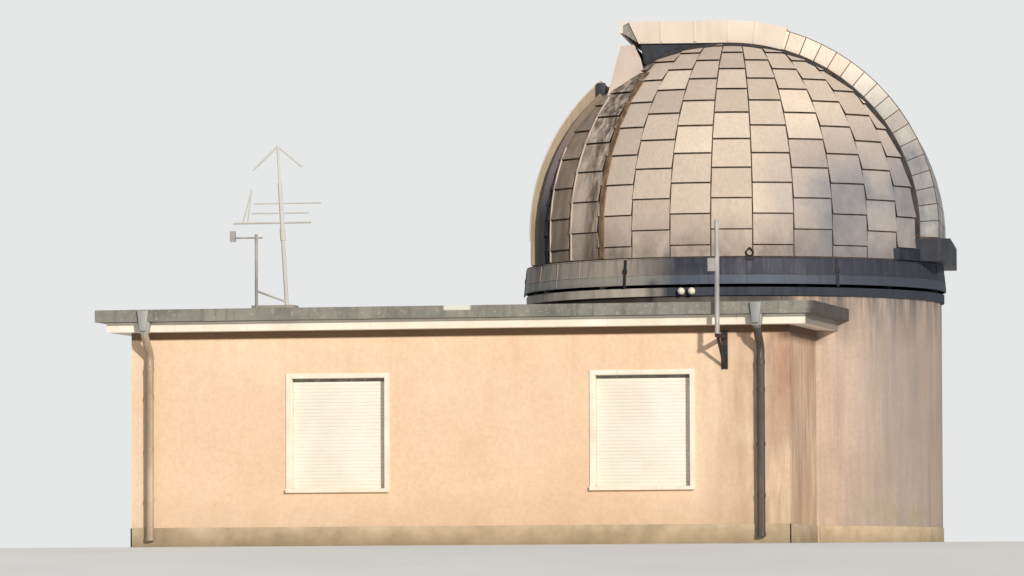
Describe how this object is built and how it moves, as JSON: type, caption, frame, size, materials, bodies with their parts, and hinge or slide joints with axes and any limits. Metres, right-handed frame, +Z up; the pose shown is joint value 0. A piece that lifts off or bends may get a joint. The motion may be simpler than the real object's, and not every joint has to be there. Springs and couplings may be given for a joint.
{
  "type": "observatory dome building",
  "caption": "Small observatory: a shingled turning dome with a sliding hood on a round plastered drum, beside a flat-roofed annexe with roller-shuttered windows.",
  "frame": {"origin": "on the dome's turning axis, at ground level under the drum's floor", "axes": "+Z up; +X along the annexe to the right as seen from its window front; -Y out of the window front"},
  "size_m": [10.2902, 7.2558, 6.752],
  "materials": {
    "annexe_plaster": "coarse lime plaster, apricot",
    "drum_plaster": "coarse lime plaster, pink-beige, rain-stained",
    "concrete": "bare concrete",
    "white_paint": "white paint, satin",
    "roof_felt": "mineral roofing felt, lichen-grey",
    "zinc": "weathered zinc, dull",
    "shingle_metal": "pale metal shingles, weathered",
    "dark_lead": "dark lead-grey sheet, streaked",
    "cream_sheet": "cream painted sheet, satin",
    "steel": "dark painted steel",
    "door_paint": "grey-brown paint"
  },
  "bodies": {
    "building": {"drum_wall_1": "drum_plaster", "drum_wall_2": "drum_plaster", "drum_wall_3": "drum_plaster", "drum_wall_4": "drum_plaster", "drum_wall_5": "drum_plaster", "drum_wall_6": "drum_plaster", "drum_floor": "concrete", "front_wall": "annexe_plaster", "left_wall": "annexe_plaster", "back_wall": "annexe_plaster", "right_wall": "annexe_plaster", "annexe_floor": "concrete", "front_window_1_surround": "white_paint", "front_window_1_roller_shutter": "white_paint", "front_window_2_surround": "white_paint", "front_window_2_roller_shutter": "white_paint", "left_window_surround": "white_paint", "left_window_roller_shutter": "white_paint", "back_door": "door_paint", "roof_deck": "white_paint", "roof_covering": "roof_felt", "front_gutter": "zinc", "right_gutter": "zinc", "back_gutter": "zinc", "left_gutter": "zinc", "left_downpipe": "zinc", "right_downpipe": "zinc", "front_mast_bracket": "steel", "front_mast": "white_paint", "aerial_mast": "white_paint", "wind_vane_mast": "steel", "roller_ring": "dark_lead"},
    "dome": {"near_shell": "shingle_metal", "far_shell": "shingle_metal", "base_ring": "steel", "skirt": "dark_lead", "rear_arch": "shingle_metal", "rear_housing": "dark_lead", "near_rail": "steel", "near_leaf_strip": "dark_lead", "far_rail": "steel", "far_leaf_strip": "dark_lead", "lower_leaf": "shingle_metal", "slit_riser": "cream_sheet"},
    "hood": {"hood": "cream_sheet"}
  },
  "joints": [
    {"name": "dome_turn", "type": "hinge", "parent": "building", "child": "dome", "pos_m": [0, 0, 3.34], "axis": [0, 0, 1], "continuous": true},
    {"name": "hood_slide_back", "type": "hinge", "parent": "dome", "child": "hood", "pos_m": [0, 0, 4.04], "axis": [-0.1271, 0.9919, 0], "range_deg": [0, 70]}
  ]
}
